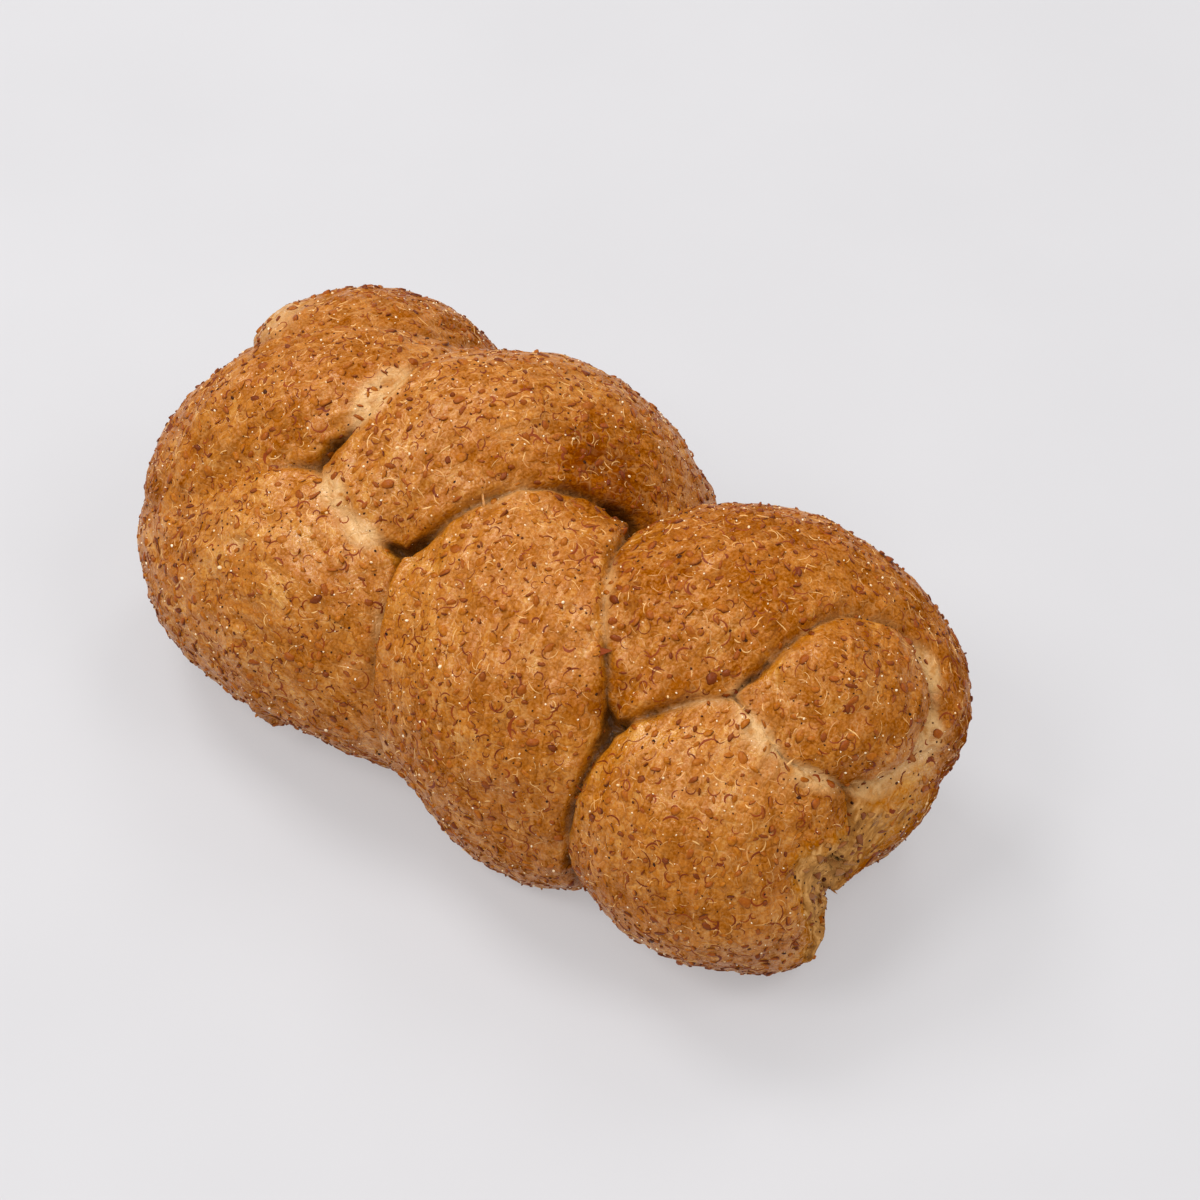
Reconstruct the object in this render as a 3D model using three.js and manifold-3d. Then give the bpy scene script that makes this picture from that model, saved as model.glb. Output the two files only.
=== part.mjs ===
// A plaited wholemeal roll in one piece. One strand of dough is wound over itself, so that fat twists
// cross the top, a fold closes one end, a loop closes the other and the strand's tip stands up in that loop.
// The crust is torn where the loop meets the last twist, and coarse bran flakes are baked into it.
// Millimetres, +Z up, resting on a flat base at z = 0.
import * as THREE from "three";
import { mergeVertices } from "three/addons/utils/BufferGeometryUtils.js";
import Module from "manifold-3d";

const wasm = await Module();
wasm.setup();

// Spine: the line along X that the dough winds round. Each twist's section faces away from it.
const SPINE_Y = 2;
const SPINE_Z = 16;

// Facets of a twist, and how blunt its ends are: 2 makes an ellipsoid, more makes it sausage-like.
const TWIST_SIDES = 28;
const TWIST_STEPS = 22;
const TWIST_BLUNTNESS = 2.7;

// Twists of the strand. A station is [x, y, z, half width, half height]; the first and last are the tips.
// The bridge is dough under the tip where the last twist and the loop have grown together.
// The heart, the last one, is the dough inside that the others lie on.
const TWISTS = {
  backFold: [
    [-24, 20, 2, 15, 13], [-35, 22, 14, 16, 14], [-44, 20, 26, 16, 15],
    [-47, 11, 35, 16, 15], [-46, 0, 36, 15, 13], [-44, -10, 34, 13, 12],
  ],
  upperFold: [
    [-22, 12, 38, 12, 11], [-30, 8, 40, 13, 12], [-39, 1.5, 38.5, 15.5, 14.5],
    [-48.5, -5, 31.5, 16.5, 15.5], [-54, -10, 20, 17, 16.5], [-54.5, -10.5, 8, 13.5, 13.5],
  ],
  lowerFold: [
    [-66.5, -4, 15, 14.5, 14], [-56.5, -11, 17, 15.5, 15.2], [-44, -16, 18.5, 18.7, 17.3],
    [-29, -15.5, 22, 22.5, 19.5], [-13, -17, 18, 18.5, 16], [1, -15, 14, 14, 13],
  ],
  backTwist: [
    [6.5, 16, -4, 15, 12], [2.5, 18.5, 8, 16, 14], [-2.5, 19.5, 22, 16.5, 15.5], [-9.5, 16, 34.5, 17.5, 16.5],
    [-18, 7, 40.5, 17, 16.5], [-24, -5, 38, 17, 14.5], [-27.5, -17.5, 31.5, 16.5, 14.5],
  ],
  frontTwist: [
    [-10, 13, 32, 11, 11], [-7.5, 6.5, 34, 14, 13], [0, -5.5, 33.5, 19.5, 16], [6.5, -15.5, 26.5, 22, 16.5],
    [11, -19, 14, 19.5, 14], [13, -18, 4, 15, 11], [14, -15, -5, 12, 9],
  ],
  endLoop: [
    [23, -17, 25, 12, 11], [24, -9, 31.5, 15, 13], [25, 2.5, 36.8, 19, 15],
    [31, 14, 35.5, 17.5, 15], [44.2, 18.4, 28.6, 11.7, 13.5], [51.2, 12, 24, 10.9, 12],
    [51, 3.5, 22, 11.5, 11], [50, -5, 19, 10.5, 10.5], [46, -12, 14.5, 9.5, 9],
  ],
  endTwist: [
    [32, 6, 26, 12, 10], [36, -4, 28, 15, 13], [38, -14, 25, 18, 14.5],
    [41, -16, 16, 19.5, 14.5], [44.5, -12, 7, 18, 11], [46, -8, -3, 14, 9],
  ],
  tip: [
    [34, 17, 26, 14, 12], [39.5, 11, 30.5, 15, 13.5], [44, 6.5, 33, 15.5, 13.5],
    [48.5, 2, 31.5, 14.5, 13], [52, -2, 28, 12, 12],
  ],
  bridge: [
    [43, -17, 25, 10, 9], [48.5, -10, 26.5, 11, 9.5], [53, -2.5, 24, 10.5, 9],
  ],
  underLoop: [
    [8, 10, 8, 12, 12], [20, 18, 12, 14, 13], [34, 19, 13, 14, 13],
    [46, 13, 11, 12, 12], [54, 4, 8, 10, 10],
  ],
  heart: [
    [-62, 1, 10, 16, 14], [-40, 1, 11, 25, 18], [-10, 1, 12, 27, 20],
    [20, 1, 12, 26, 19], [42, 1, 11, 20, 16], [54, 1, 10, 14, 12],
  ],
};

// Chunks of crust missing from the tear between the loop and the last twist, as [x, y, z, radius].
const TEAR = [
  [57.5, -8.5, 25, 2.8],
  [59.5, -9.5, 20, 3.2],
  [60.5, -10, 15, 3.5],
  [60, -9.5, 9.5, 3.5],
];

// Largest bran flakes, half baked into the crust. They keep off the creases, the base and the tear.
const FLAKE_COUNT = 110;
const FLAKE_SPACING = 10; // least distance between two flakes
const FLAKE_LENGTH = 2.8;
const FLAKE_WIDTH = 1.9;
const FLAKE_HEIGHT = 1.1;
const FLAKE_SPREAD = 0.35; // largest change of size, as a share
const FLAKE_LOWEST_Z = 9;
const FLAKE_TIP_MARGIN = 0.1; // share of a twist's length left bare at each tip
const FLAKE_CREASE_GAP = 1.12; // clearance from a neighbouring twist, as a share of its radius
const FLAKE_TEAR_GAP = 2; // clearance from the tear
const FLAKE_TRIES = 20000; // places tried on the twists
const FLAKE_SIDES = 6;
const FLAKE_STEPS = 4;

const NUDGE_SHARE = 0.01; // steps along and round a twist that give its surface's slope
const NUDGE_ANGLE = 0.05;
const REACH_SAMPLES = 48; // sections tried when a point is tested against a twist

const FLOOR_BLOCK = 400;
const CRUST_COLOUR = 0xb5783c;
const CRUST_ROUGHNESS = 0.55;

// A twist as curves: its centre line, and its half width and half height along it.
function makeTwist(stations) {
  const spline = (vectors) => new THREE.CatmullRomCurve3(vectors, false, "catmullrom", 0.5);
  return {
    centreLine: spline(stations.map(([x, y, z]) => new THREE.Vector3(x, y, z))),
    halfSizes: spline(stations.map(([, , , width, height]) => new THREE.Vector3(width, height, 0))),
  };
}

// Section of a twist at a share of its length: its centre, and its width and height axes at full size.
function sectionAt(twist, share) {
  const centre = twist.centreLine.getPoint(share);
  const tangent = twist.centreLine.getTangent(share);
  const half = twist.halfSizes.getPoint(share);
  const outward = new THREE.Vector3(0, centre.y - SPINE_Y, centre.z - SPINE_Z);
  outward.addScaledVector(tangent, -outward.dot(tangent)).normalize();
  const sideways = new THREE.Vector3().crossVectors(outward, tangent);
  return { centre, width: sideways.multiplyScalar(half.x), height: outward.multiplyScalar(half.y) };
}

// How wide a twist is at a share of its length, from 0 at its tips to 1 in its middle.
function girthAt(share) {
  const fromMiddle = Math.abs(2 * share - 1);
  return Math.max(0, 1 - fromMiddle ** TWIST_BLUNTNESS) ** (1 / TWIST_BLUNTNESS);
}

// A point on a twist's surface, at a share of its length and an angle round it.
function surfacePoint(twist, share, angle) {
  const { centre, width, height } = sectionAt(twist, share);
  const girth = girthAt(share);
  return centre
    .addScaledVector(width, girth * Math.cos(angle))
    .addScaledVector(height, girth * Math.sin(angle));
}

// A closed ball bent along a twist: the ball's poles become the tips.
function twistGeometry(twist) {
  const ball = new THREE.SphereGeometry(1, TWIST_SIDES, TWIST_STEPS);
  const position = ball.getAttribute("position");
  for (let i = 0; i < position.count; i++) {
    const share = (1 - position.getY(i)) / 2;
    const angle = Math.atan2(position.getZ(i), position.getX(i));
    const point = surfacePoint(twist, share, angle);
    position.setXYZ(i, point.x, point.y, point.z);
  }
  return ball;
}

// A closed geometry as a solid that can be joined and cut.
function toSolid(geometry) {
  geometry.deleteAttribute("normal");
  geometry.deleteAttribute("uv");
  const merged = mergeVertices(geometry);
  return new wasm.Manifold(
    new wasm.Mesh({
      numProp: 3,
      vertProperties: merged.getAttribute("position").array,
      triVerts: new Uint32Array(merged.index.array),
    }),
  );
}

// The largest body of a solid, with any hollow sealed inside it filled and loose scraps dropped.
function largestBody(solid) {
  return solid.decompose().reduce((best, body) => (body.volume() > best.volume() ? body : best));
}

// A solid as a geometry for drawing.
function toGeometry(solid) {
  const { vertProperties, triVerts } = solid.getMesh();
  const geometry = new THREE.BufferGeometry();
  geometry.setAttribute("position", new THREE.Float32BufferAttribute(vertProperties, 3));
  geometry.setIndex(new THREE.Uint32BufferAttribute(triVerts, 1));
  geometry.computeVertexNormals();
  return geometry;
}

// How far out of a twist a point lies: under 1 is inside it.
function reachFrom(twist, point) {
  let nearest = Infinity;
  let reach = Infinity;
  for (let i = 1; i < REACH_SAMPLES; i++) {
    const share = i / REACH_SAMPLES;
    const { centre, width, height } = sectionAt(twist, share);
    const offset = point.clone().sub(centre);
    const distance = offset.lengthSq();
    if (distance < nearest) {
      nearest = distance;
      const across = offset.dot(width) / width.lengthSq();
      const up = offset.dot(height) / height.lengthSq();
      reach = Math.hypot(across, up) / girthAt(share);
    }
  }
  return reach;
}

// Whether a point lies in the tear or close to it.
function nearTear(point) {
  return TEAR.some(([x, y, z, radius]) => {
    return point.distanceTo(new THREE.Vector3(x, y, z)) < radius + FLAKE_TEAR_GAP;
  });
}

// Evenly spread numbers from 0 to 1: multiples of an irrational step, without their whole part.
function spread(index, step) {
  return (index * step) % 1;
}

// Places for the flakes on the outer crust: a point, and the crust's outward direction there.
function flakePlaces(twists) {
  const places = [];
  const outer = twists.slice(0, -1);
  for (let i = 1; i <= FLAKE_TRIES && places.length < FLAKE_COUNT; i++) {
    const twist = outer[i % outer.length];
    const share = FLAKE_TIP_MARGIN + (1 - 2 * FLAKE_TIP_MARGIN) * spread(i, Math.SQRT2);
    const angle = 2 * Math.PI * spread(i, Math.sqrt(3));
    const point = surfacePoint(twist, share, angle);
    const others = twists.filter((other) => other !== twist);
    if (point.z < FLAKE_LOWEST_Z || nearTear(point)) continue;
    if (places.some((other) => other.point.distanceTo(point) < FLAKE_SPACING)) continue;
    if (others.some((other) => reachFrom(other, point) < FLAKE_CREASE_GAP)) continue;
    const ahead = surfacePoint(twist, share + NUDGE_SHARE, angle).sub(point);
    const round = surfacePoint(twist, share, angle + NUDGE_ANGLE).sub(point);
    const outward = new THREE.Vector3().crossVectors(round, ahead).normalize();
    const { centre } = sectionAt(twist, share);
    if (outward.dot(point.clone().sub(centre)) < 0) outward.negate();
    places.push({ point, outward });
  }
  return places;
}

// One flake: a low faceted pebble lying on the crust.
function flakeGeometry({ point, outward }, index) {
  const size = 1 + FLAKE_SPREAD * (2 * spread(index, Math.sqrt(5)) - 1);
  const turn = 2 * Math.PI * spread(index, Math.sqrt(7));
  const lift = new THREE.Quaternion().setFromUnitVectors(new THREE.Vector3(0, 1, 0), outward);
  return new THREE.SphereGeometry(0.5, FLAKE_SIDES, FLAKE_STEPS)
    .scale(size * FLAKE_LENGTH, FLAKE_HEIGHT, size * FLAKE_WIDTH)
    .rotateY(turn)
    .applyQuaternion(lift)
    .translate(point.x, point.y, point.z);
}

// One missing chunk of the tear: a rough ball.
function chunkGeometry([x, y, z, radius]) {
  return new THREE.IcosahedronGeometry(radius, 1).translate(x, y, z);
}

// The space under the base, which the roll is cut flat by.
function floorGeometry() {
  return new THREE.BoxGeometry(FLOOR_BLOCK, FLOOR_BLOCK, FLOOR_BLOCK).translate(0, 0, -FLOOR_BLOCK / 2);
}

// The whole roll: the twists fused, torn and cut flat underneath, with the flakes fused on.
function rollGeometry() {
  const twists = Object.values(TWISTS).map(makeTwist);
  const join = (solid, next) => solid.add(next);
  const cut = (solid, next) => solid.subtract(next);
  const dough = twists.map((twist) => toSolid(twistGeometry(twist))).reduce(join);
  const gaps = [floorGeometry(), ...TEAR.map(chunkGeometry)].map(toSolid);
  const flakes = flakePlaces(twists).map((place, index) => toSolid(flakeGeometry(place, index)));
  return toGeometry(largestBody(flakes.reduce(join, gaps.reduce(cut, dough))));
}

const crust = new THREE.MeshStandardMaterial({
  name: "crust",
  color: CRUST_COLOUR,
  roughness: CRUST_ROUGHNESS,
  metalness: 0,
});

const rollMesh = new THREE.Mesh(rollGeometry(), crust);
rollMesh.name = "plaited_roll";

// The origin is on the base, under the middle of the roll's outline.
rollMesh.geometry.computeBoundingBox();
const middle = rollMesh.geometry.boundingBox.getCenter(new THREE.Vector3());
rollMesh.position.set(-middle.x, -middle.y, 0);

const roll = new THREE.Group();
roll.add(rollMesh);

export default roll;
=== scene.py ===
"""Looks of the plaited wholemeal roll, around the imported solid.

The crust is made from the same strands of dough as the solid, at a finer step. Lengths are in
millimetres in the strands' own frame until a mesh is made: there they become metres in the solid's frame.
"""

import math

import bpy
import numpy as np
from mathutils import Matrix, Vector, kdtree, noise
from mathutils.bvhtree import BVHTree


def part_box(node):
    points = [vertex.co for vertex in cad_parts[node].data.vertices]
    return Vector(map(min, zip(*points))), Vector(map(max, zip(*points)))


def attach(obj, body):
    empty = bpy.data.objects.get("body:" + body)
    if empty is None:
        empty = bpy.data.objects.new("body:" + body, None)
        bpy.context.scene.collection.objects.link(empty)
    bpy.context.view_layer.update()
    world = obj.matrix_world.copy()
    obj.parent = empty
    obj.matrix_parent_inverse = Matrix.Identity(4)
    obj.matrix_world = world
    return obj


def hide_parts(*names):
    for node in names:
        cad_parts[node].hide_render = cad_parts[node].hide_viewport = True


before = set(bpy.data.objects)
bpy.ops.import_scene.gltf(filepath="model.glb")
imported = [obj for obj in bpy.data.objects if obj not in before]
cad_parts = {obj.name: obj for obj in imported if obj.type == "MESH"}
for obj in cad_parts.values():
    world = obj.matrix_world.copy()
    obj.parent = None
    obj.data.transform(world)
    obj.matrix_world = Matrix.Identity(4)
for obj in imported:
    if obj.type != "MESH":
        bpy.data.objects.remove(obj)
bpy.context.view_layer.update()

NODE = "plaited_roll"
BODY = "root"
MM = 0.001

# Strands: x, y, z, half width and half height at each station, from one end of the strand to the other.
STRANDS = {
    "back_fold": [
        (-24, 20, 2, 15, 13), (-35, 22, 14, 16, 14), (-44, 20, 26, 16, 15),
        (-47, 11, 35, 16, 15), (-46, 0, 36, 15, 13), (-44, -10, 34, 13, 12),
    ],
    "upper_fold": [
        (-22, 12, 38, 12, 11), (-30, 8, 40, 13, 12), (-39, 1.5, 38.5, 15.5, 14.5),
        (-48.5, -5, 31.5, 16.5, 15.5), (-54, -10, 20, 17, 16.5), (-54.5, -10.5, 8, 13.5, 13.5),
    ],
    "lower_fold": [
        (-66.5, -4, 15, 14.5, 14), (-56.5, -11, 17, 15.5, 15.2), (-44, -16, 18.5, 18.7, 17.3),
        (-29, -15.5, 22, 22.5, 19.5), (-13, -17, 18, 18.5, 16), (1, -15, 14, 14, 13),
    ],
    "back_twist": [
        (6.5, 16, -4, 15, 12), (2.5, 18.5, 8, 16, 14), (-2.5, 19.5, 22, 16.5, 15.5),
        (-9.5, 16, 34.5, 17.5, 16.5), (-18, 7, 40.5, 17, 16.5), (-24, -5, 38, 17, 14.5),
        (-27.5, -17.5, 31.5, 16.5, 14.5),
    ],
    "front_twist": [
        (-10, 13, 32, 11, 11), (-7.5, 6.5, 34, 14, 13), (0, -5.5, 33.5, 19.5, 16),
        (6.5, -15.5, 26.5, 22, 16.5), (11, -19, 14, 19.5, 14), (13, -18, 4, 15, 11),
        (14, -15, -5, 12, 9),
    ],
    "end_loop": [
        (23, -17, 25, 12, 11), (24, -9, 31.5, 15, 13), (25, 2.5, 36.8, 19, 15),
        (31, 14, 35.5, 17.5, 15), (44.2, 18.4, 28.6, 11.7, 13.5), (51.2, 12, 24, 10.9, 12),
        (51, 3.5, 22, 11.5, 11), (50, -5, 19, 10.5, 10.5), (46, -12, 14.5, 9.5, 9),
    ],
    "end_twist": [
        (32, 6, 26, 12, 10), (36, -4, 28, 15, 13), (38, -14, 25, 18, 14.5),
        (41, -16, 16, 19.5, 14.5), (44.5, -12, 7, 18, 11), (46, -8, -3, 14, 9),
    ],
    "tip": [
        (34, 17, 26, 14, 12), (39.5, 11, 30.5, 15, 13.5), (44, 6.5, 33, 15.5, 13.5),
        (48.5, 2, 31.5, 14.5, 13), (52, -2, 28, 12, 12),
    ],
    "bridge": [
        (43, -17, 25, 10, 9), (48.5, -10, 26.5, 11, 9.5), (53, -2.5, 24, 10.5, 9),
    ],
    "under_loop": [
        (8, 10, 8, 12, 12), (20, 18, 12, 14, 13), (34, 19, 13, 14, 13),
        (46, 13, 11, 12, 12), (54, 4, 8, 10, 10),
    ],
    "heart": [
        (-62, 1, 10, 16, 14), (-40, 1, 11, 25, 18), (-10, 1, 12, 27, 20),
        (20, 1, 12, 26, 19), (42, 1, 11, 20, 16), (54, 1, 10, 14, 12),
    ],
}

# Strands that run into another without a crease.
SAME_PIECE = {"bridge": "end_twist"}

# Pairs of strands of which the first lies over the second.
OVER = [
    ("back_twist", "front_twist"),
    ("back_twist", "end_loop"),
    ("front_twist", "end_loop"),
    ("front_twist", "end_twist"),
    ("front_twist", "lower_fold"),
    ("end_loop", "end_twist"),
]

# Shape of a strand: the line its height points away from, how blunt it is, and the steps of its surface.
SPINE_Y = 2
SPINE_Z = 16
BLUNTNESS = 2.7
STRAND_STEPS = 60
STRAND_SIDES = 64
SHARE_NUDGE = 0.001
FLOW_STEPS = 120
FLOW_APART = 100

# How much darker each strand is baked than the rest, and how much painted shade darkens the foot of the
# roll against its top.
STRAND_TONE = {
    "back_fold": 0.2,
    "upper_fold": 0.11,
    "back_twist": 0.1,
    "front_twist": 0.02,
    "lower_fold": -0.02,
    "end_loop": 0.25,
    "tip": 0.14,
}
FOOT_PAINTED_SHADE = 0.16
ROLL_HEIGHT = 55

# Spots painted darker, or lighter where the amount is below zero: x, y, z, reach and amount.
# The first two are painted shade: the right end of the back twist and the right side of the loop.
TONE_AND_SHADE_SPOTS = [
    (0, 10, 48, 13, 0.6),
    (60, 14, 27, 12, 0.3),
    (-34, -26, 38, 14, -0.15),
    (61, 9, 30, 9, -0.8),
    (62, 1, 25, 9, -0.5),
]

# Skin of the crust: the step of its mesh, and how it is smoothed and rounded.
VOXEL = 0.66
BASE_ROUNDING = 1.6
SMOOTH_ROUNDS = 4
SMOOTH_IN = 0.5
SMOOTH_OUT = -0.52
GAP_REACH = 9

# Relief of the crust: the size of each kind of unevenness, and how far it stands up.
NOISE_STEP = np.array([3.1, 7.7, 5.3])
SWELL_SIZE = 14
SWELL = 0.5
LUMP_SIZE = 5
LUMP = 0.4
BUMP_SIZE = 2.2
BUMP = 0.3
WRINKLE_STRETCH = np.array([0.16, 1, 1])
WRINKLE_SIZE = 1.7
WRINKLE = 0.28
EDGE_WRINKLE = 0.25
EDGE_REACH = 5
PALE_STRETCH = np.array([1, 0.3, 0.3])
PALE_WRINKLE_SIZE = 1.3
PALE_WRINKLE = 0.3
FOLD_STRETCH = np.array([0.1, 1, 1])
FOLD_SIZE = 3.5

# Spots with long folds along the strand: x, y, z, reach and height of the folds.
FOLD_SPOTS = [
    (-50, -14, 44, 20, 0.85),
    (-34, 0, 51, 10, 0.4),
    (20, -6, 46, 12, 0.5),
    (44, -20, 36, 14, 0.3),
    (8, -18, 44, 14, 0.3),
]

# Creases between strands: two round lobes pressed together, so deep and narrow at the border.
HOLLOW_ROUNDS = 2
HOLLOW_FLAT = 0.006
HOLLOW_SHARP = 0.03
SHARP_ROUNDS = 6
STEADY_ROUNDS = 14
CREASE_FILL = 1.0
CREASE_FILL_REACH = 4
PALE_FILL = 0.6
PALE_SOFT_REACH = 2.2
PALE_SOFT_ROUNDS = 14
BORDER_FADE = 1.5
OVERLAP = 0.6
OVERLAP_START = 0.5
OVERLAP_REACH = 5
SLIT_RADIUS = 1.6
SLIT_DEPTH = 0.95
GROOVE_WIDTH = 2.8
SLIT_WANDER = 0.35
SLIT_WANDER_SIZE = 3
SLIT_ROUNDING = 0.3
DEEPEST = 3.5
SHADOW_WIDTH = 0.6
PALE_FULL = 1.3
PALE_WIDTH = 0.9
PALE_SPREAD = 3.0
PALE_LEAST = 0.3
PALE_ABOVE = 0.4
CLEAR_REACH = 2.4

# Places where a crease differs: x, y, z, reach, deeper by, paler by and depth of a wide groove along it.
CREASE_SPOTS = [
    (-33, -1, 51.5, 9, -1.0, 1.0, 1.2),
    (-31.5, -9.8, 46.5, 4.5, 2.2, 0, 0.6),
    (-28, -14.5, 44.7, 6.5, -1.2, 1.0, 0.3),
    (-21, -17.6, 42, 6, -1.2, 1.0, 0.3),
    (-15.3, -14, 41.3, 4.5, 1.8, 0, 0.3),
    (-12, -22.5, 35, 7, -0.2, 0.4, 0.2),
    (-45, -22, 38, 15, -2.5, -0.2, 0.9),
    (-56, -27, 29, 12, -3, 0, 0),
    (-46, 2, 50, 12, -1.2, -0.3, 0),
    (-5, -3, 48, 11, -0.3, 0.5, 0),
    (6, 9, 41.5, 6, 2.2, 0, 0.5),
    (18, -5, 44.5, 11, -0.7, 0.5, 0),
    (36, -9, 41, 8, -0.5, 0.4, 0),
    (26, -18.2, 35.5, 4.5, 2.0, 0, 0.3),
    (28, -24, 30, 8, 0.2, -0.5, -0.3),
    (25, -27, 17, 9, 0.2, -0.3, -0.3),
    (23.5, -26.5, 7, 6, -0.4, 0.9, 0),
    (-9, -28, 26, 9, 0.1, 0.15, 0),
    (38.8, -5.4, 41.2, 4, 0, 0.2, 0),
    (46, 13, 44, 11, -0.4, 0, 0.6),
    (40, 4, 44.5, 7, 0, 0, 0.5),
    (40.3, -2.2, 42.6, 3.5, 1.8, 0, 0.4),
    (54, 18, 36.5, 6, -1, 0.7, 1.2),
    (59, 11, 32, 7, -1, 0.9, 1.5),
    (57, 2, 30.5, 7, -1, 0.9, 1.2),
    (52, -8, 33, 7, -1.2, 0.9, 0.6),
    (44, -9.5, 38.5, 6, -1.5, 0.9, 0.3),
    (57, -8, 24, 7, -1.5, 0.8, 0),
]

# Pits and swollen spots: x, y, z, reach, depth and how pale they are.
PITS = [
    (-36.8, -27.3, 37.5, 2.2, 0.8, 0.7),
    (-58, 6.5, 44, 9, -1.5, 0.95),
    (38.8, -5.4, 41.2, 6, -1.5, 0),
    (48, 4, 44.5, 8, -2.0, 0),
    (44, -8.5, 39, 5, -1.0, 0.3),
    (49, -10, 36.5, 5, -1.0, 0.3),
]

# Tear between the loop and the last twist: x, y, z and radius of each torn-out chunk.
TEAR = [(57.5, -8.5, 25, 2.8), (59.5, -9.5, 20, 3.2), (60.5, -10, 15, 3.5), (60, -9.5, 9.5, 3.5)]
TEAR_RAG_SIZE = 1.8
TEAR_RAGGED = 0.45
TEAR_FRAY = 2.5

# Torn, stretched crumb beside the tear: x, y, z, reach and how torn it is.
TORN_SPOTS = [
    (61, 4, 24, 9, 0.55),
    (59, -4, 22, 8, 0.65),
    (58, -13, 26, 6, 0.9),
    (59, -13, 20, 6, 1),
    (58, -10, 20, 7, 1),
    (57.5, -12, 13, 8, 1),
    (58, -3, 28, 6, 0.5),
    (57, -14, 9, 6, 0.8),
]
TORN_STRETCH = np.array([0.25, 1, 1])
TORN_SIZE = 1.4
TORN_ROUGH = 0.8

# Spots for things on the crust: tries for each one kept, the lowest place that has any, how bare pale skin
# stays, and how many more specks there are on torn crumb.
SCATTER_TRIES = 5
LOWEST_CHIP = 0.8
PALE_BARE = 0.6
TORN_SPECKS = 3

# Plates on the crust: bran flakes, dark specks with painted shade for pores, and pale grains with painted
# glints.
CHIP_INNER = 0.82
CHIP_SINK = 0.12
CHIP_WOBBLE = 0.1
CHIP_INNER_RIM = 0.4
CHIP_SLIMNESS = 0.75
CHIP_SPREAD = 0.35
FLAKE_COUNT = 3600
FLAKE_SPACING = 1.35
FLAKE_HALF = 0.6
FLAKE_SPREAD = 0.35
FLAKE_LARGEST = 1.05
FLAKE_SLIMNESS = 0.5
FLAKE_SLIMNESS_SPREAD = 0.18
FLAKE_SLIMMEST = 0.3
FLAKE_ROUNDEST = 0.75
FLAKE_POINTED = 0.25
FLAKE_CENTRE = 0.9
FLAKE_LOW_SIDE = 0.3
FLAKE_HEIGHT = 0.24
FLAKE_HEIGHT_SPREAD = 0.35
FLAKE_SIDES = 12
SPECK_COUNT = 2600
SPECK_SPACING = 0.8
SPECK_HALF = 0.17
SPECK_HEIGHT = 0.3
SPECK_SIDES = 6
GRAIN_COUNT = 2600
GRAIN_SPACING = 1.1
GRAIN_HALF = 0.12
GRAIN_HEIGHT = 0.8
GRAIN_SIDES = 6

# Ridges on the crust: pale fibres and dark curled edges of bran.
RIDGE_STEPS = 8
RIDGE_SINK = 0.04
RIDGE_BLUNTNESS = 1.02
FIBRE_COUNT = 3000
FIBRE_SPACING = 1.2
FIBRE_LENGTH = 1.7
FIBRE_LENGTH_SPREAD = 0.35
FIBRE_HALF = 0.1
FIBRE_HALF_SPREAD = 0.25
FIBRE_HEIGHT = 0.07
FIBRE_TURN = 1.5
CURL_COUNT = 2500
CURL_SPACING = 1.3
CURL_LENGTH = 2.4
CURL_LENGTH_SPREAD = 0.3
CURL_HALF = 0.16
CURL_HALF_SPREAD = 0.35
CURL_HEIGHT = 0.08
CURL_LEAST_TURN = 1.5
CURL_MOST_TURN = 4.5

# Shreds along the tear, and each of their two rings: how far out it is, and its size.
SHRED_COUNT = 70
SHRED_SPACING = 0.9
SHRED_HALF = 0.45
SHRED_HALF_SPREAD = 0.3
SHRED_LENGTH = 0.9
SHRED_LENGTH_SPREAD = 0.35
SHRED_SIDES = 6
SHRED_RAGGED = 0.2
SHRED_THINNESS = 0.45
SHRED_LEAST_LIFT = 0.2
SHRED_MOST_LIFT = 0.7
SHRED_RINGS = ((-0.25, 1.0), (0.45, 0.7))

# Floor: how far it reaches on each side, in metres.
FLOOR_REACH = 3

# Camera: how far round and up it stands, its full angle of view, its distance and what it looks at.
CAMERA_AZIMUTH = 40
CAMERA_ELEVATION = 47
CAMERA_FIELD = 20
CAMERA_DISTANCE = 500.4
CAMERA_TARGET = (3.89, 6.35, 26.21)

# Light: brightness of the surroundings, and the place in metres and the watts of each lamp.
SKY = 0.58
LAMP_SIZE = 0.3
LAMP_AIM = (0, 0, 0.02)
LAMPS = [
    (-0.5, 0.05, 0.75, 3.0),
    (-0.2, -0.5, 0.75, 2.8),
    (-0.15, 0.55, 0.75, 1.4),
    (0.5, 0.15, 0.75, 1.6),
    (0.3, -0.45, 0.8, 1.0),
]


def unit(vectors):
    """Vectors scaled to length one."""
    return vectors / np.maximum(np.linalg.norm(vectors, axis=-1, keepdims=True), 1e-9)


def dot(first, second):
    """Dot product of each pair of rows, kept as a column."""
    return np.sum(first * second, axis=-1, keepdims=True)


# Strands of dough

def along(stations, share):
    """The stations blended smoothly at each share of the strand's length."""
    rows = np.array(stations, float)
    extended = np.vstack([2 * rows[0] - rows[1], rows, 2 * rows[-1] - rows[-2]])
    stretch = np.clip(share, 0, 1) * (len(rows) - 1)
    index = np.minimum(stretch.astype(int), len(rows) - 2)
    t = (stretch - index)[:, None]
    a, b, c, d = (extended[index + step] for step in range(4))
    return b + 0.5 * t * (c - a + t * (2 * a - 5 * b + 4 * c - d + t * (3 * b - a - 3 * c + d)))


def sections(stations, share):
    """Centre, direction, side and outward axis, half width and half height at each share."""
    rows = along(stations, share)
    centre = rows[:, :3]
    direction = along(stations, share + SHARE_NUDGE)[:, :3] - along(stations, share - SHARE_NUDGE)[:, :3]
    direction = unit(direction)
    out = centre - np.array([0, SPINE_Y, SPINE_Z])
    out[:, 0] = 0
    out = unit(out - direction * dot(out, direction))
    side = np.cross(out, direction)
    return centre, direction, side, out, rows[:, 3], rows[:, 4]


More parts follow.
